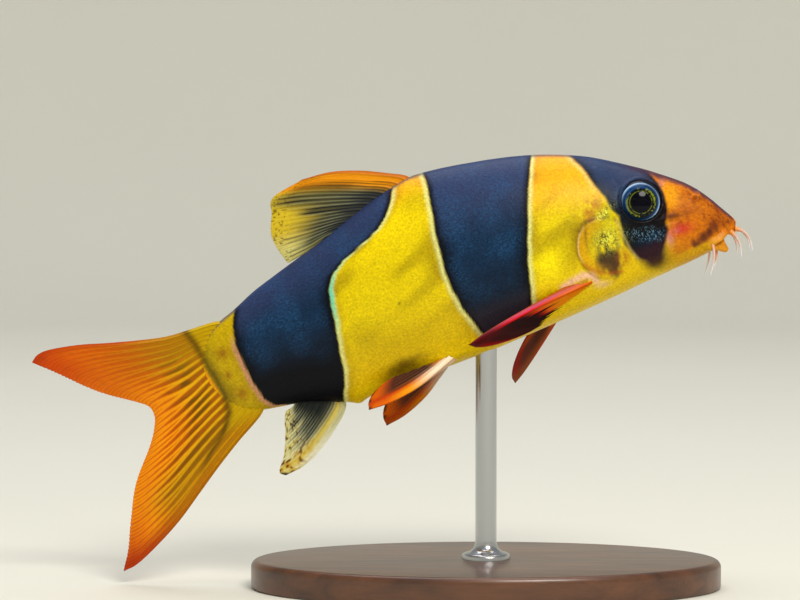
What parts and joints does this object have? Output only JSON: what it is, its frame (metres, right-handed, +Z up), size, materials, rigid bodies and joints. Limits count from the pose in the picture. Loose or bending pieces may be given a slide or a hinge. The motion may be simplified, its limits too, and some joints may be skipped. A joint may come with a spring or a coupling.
{
  "type": "clown loach fish model on stand",
  "caption": "Clown loach, life size and still, swimming head-up: banded body, forked tail, spread fins and barbels, held by a rod on an oval base",
  "frame": {"origin": "Centre of the display base's underside, on the surface the model stands on", "axes": "+X forward, the way the head points; +Y to the fish's left; +Z up. The fish is pitched 22 degrees head-up over the stand"},
  "size_m": [0.1013, 0.042, 0.0608],
  "materials": {
    "skin_head": "satin wet skin, orange snout and slate-blue nape",
    "skin_flank": "satin wet skin, yellow with a blue-black band",
    "skin_tail": "satin wet skin, blue-black band and yellow tail stalk",
    "eye": "clear glossy cornea over a dark pupil and silver-green iris",
    "fin_orange": "thin ribbed fin membrane",
    "fin_red": "thin ribbed fin membrane",
    "fin_dusky": "thin ribbed fin membrane",
    "barbel": "soft pale feeler",
    "stand_base": "satin dark walnut",
    "stand_rod": "brushed"
  },
  "bodies": {
    "root": {"head": "skin_head", "trunk": "skin_flank", "tail_stalk": "skin_tail", "eye_right": "eye", "eye_left": "eye", "dorsal_fin": "fin_orange", "anal_fin": "fin_dusky", "caudal_fin": "fin_orange", "pectoral_fin_right": "fin_red", "pectoral_fin_left": "fin_red", "pelvic_fin_right": "fin_red", "pelvic_fin_left": "fin_red", "barbel_snout_front_right": "barbel", "barbel_snout_front_left": "barbel", "barbel_snout_rear_right": "barbel", "barbel_snout_rear_left": "barbel", "barbel_mouth_corner_right": "barbel", "barbel_mouth_corner_left": "barbel", "barbel_chin_right": "barbel", "barbel_chin_left": "barbel", "stand_base": "stand_base", "stand_rod": "stand_rod"}
  },
  "joints": []
}
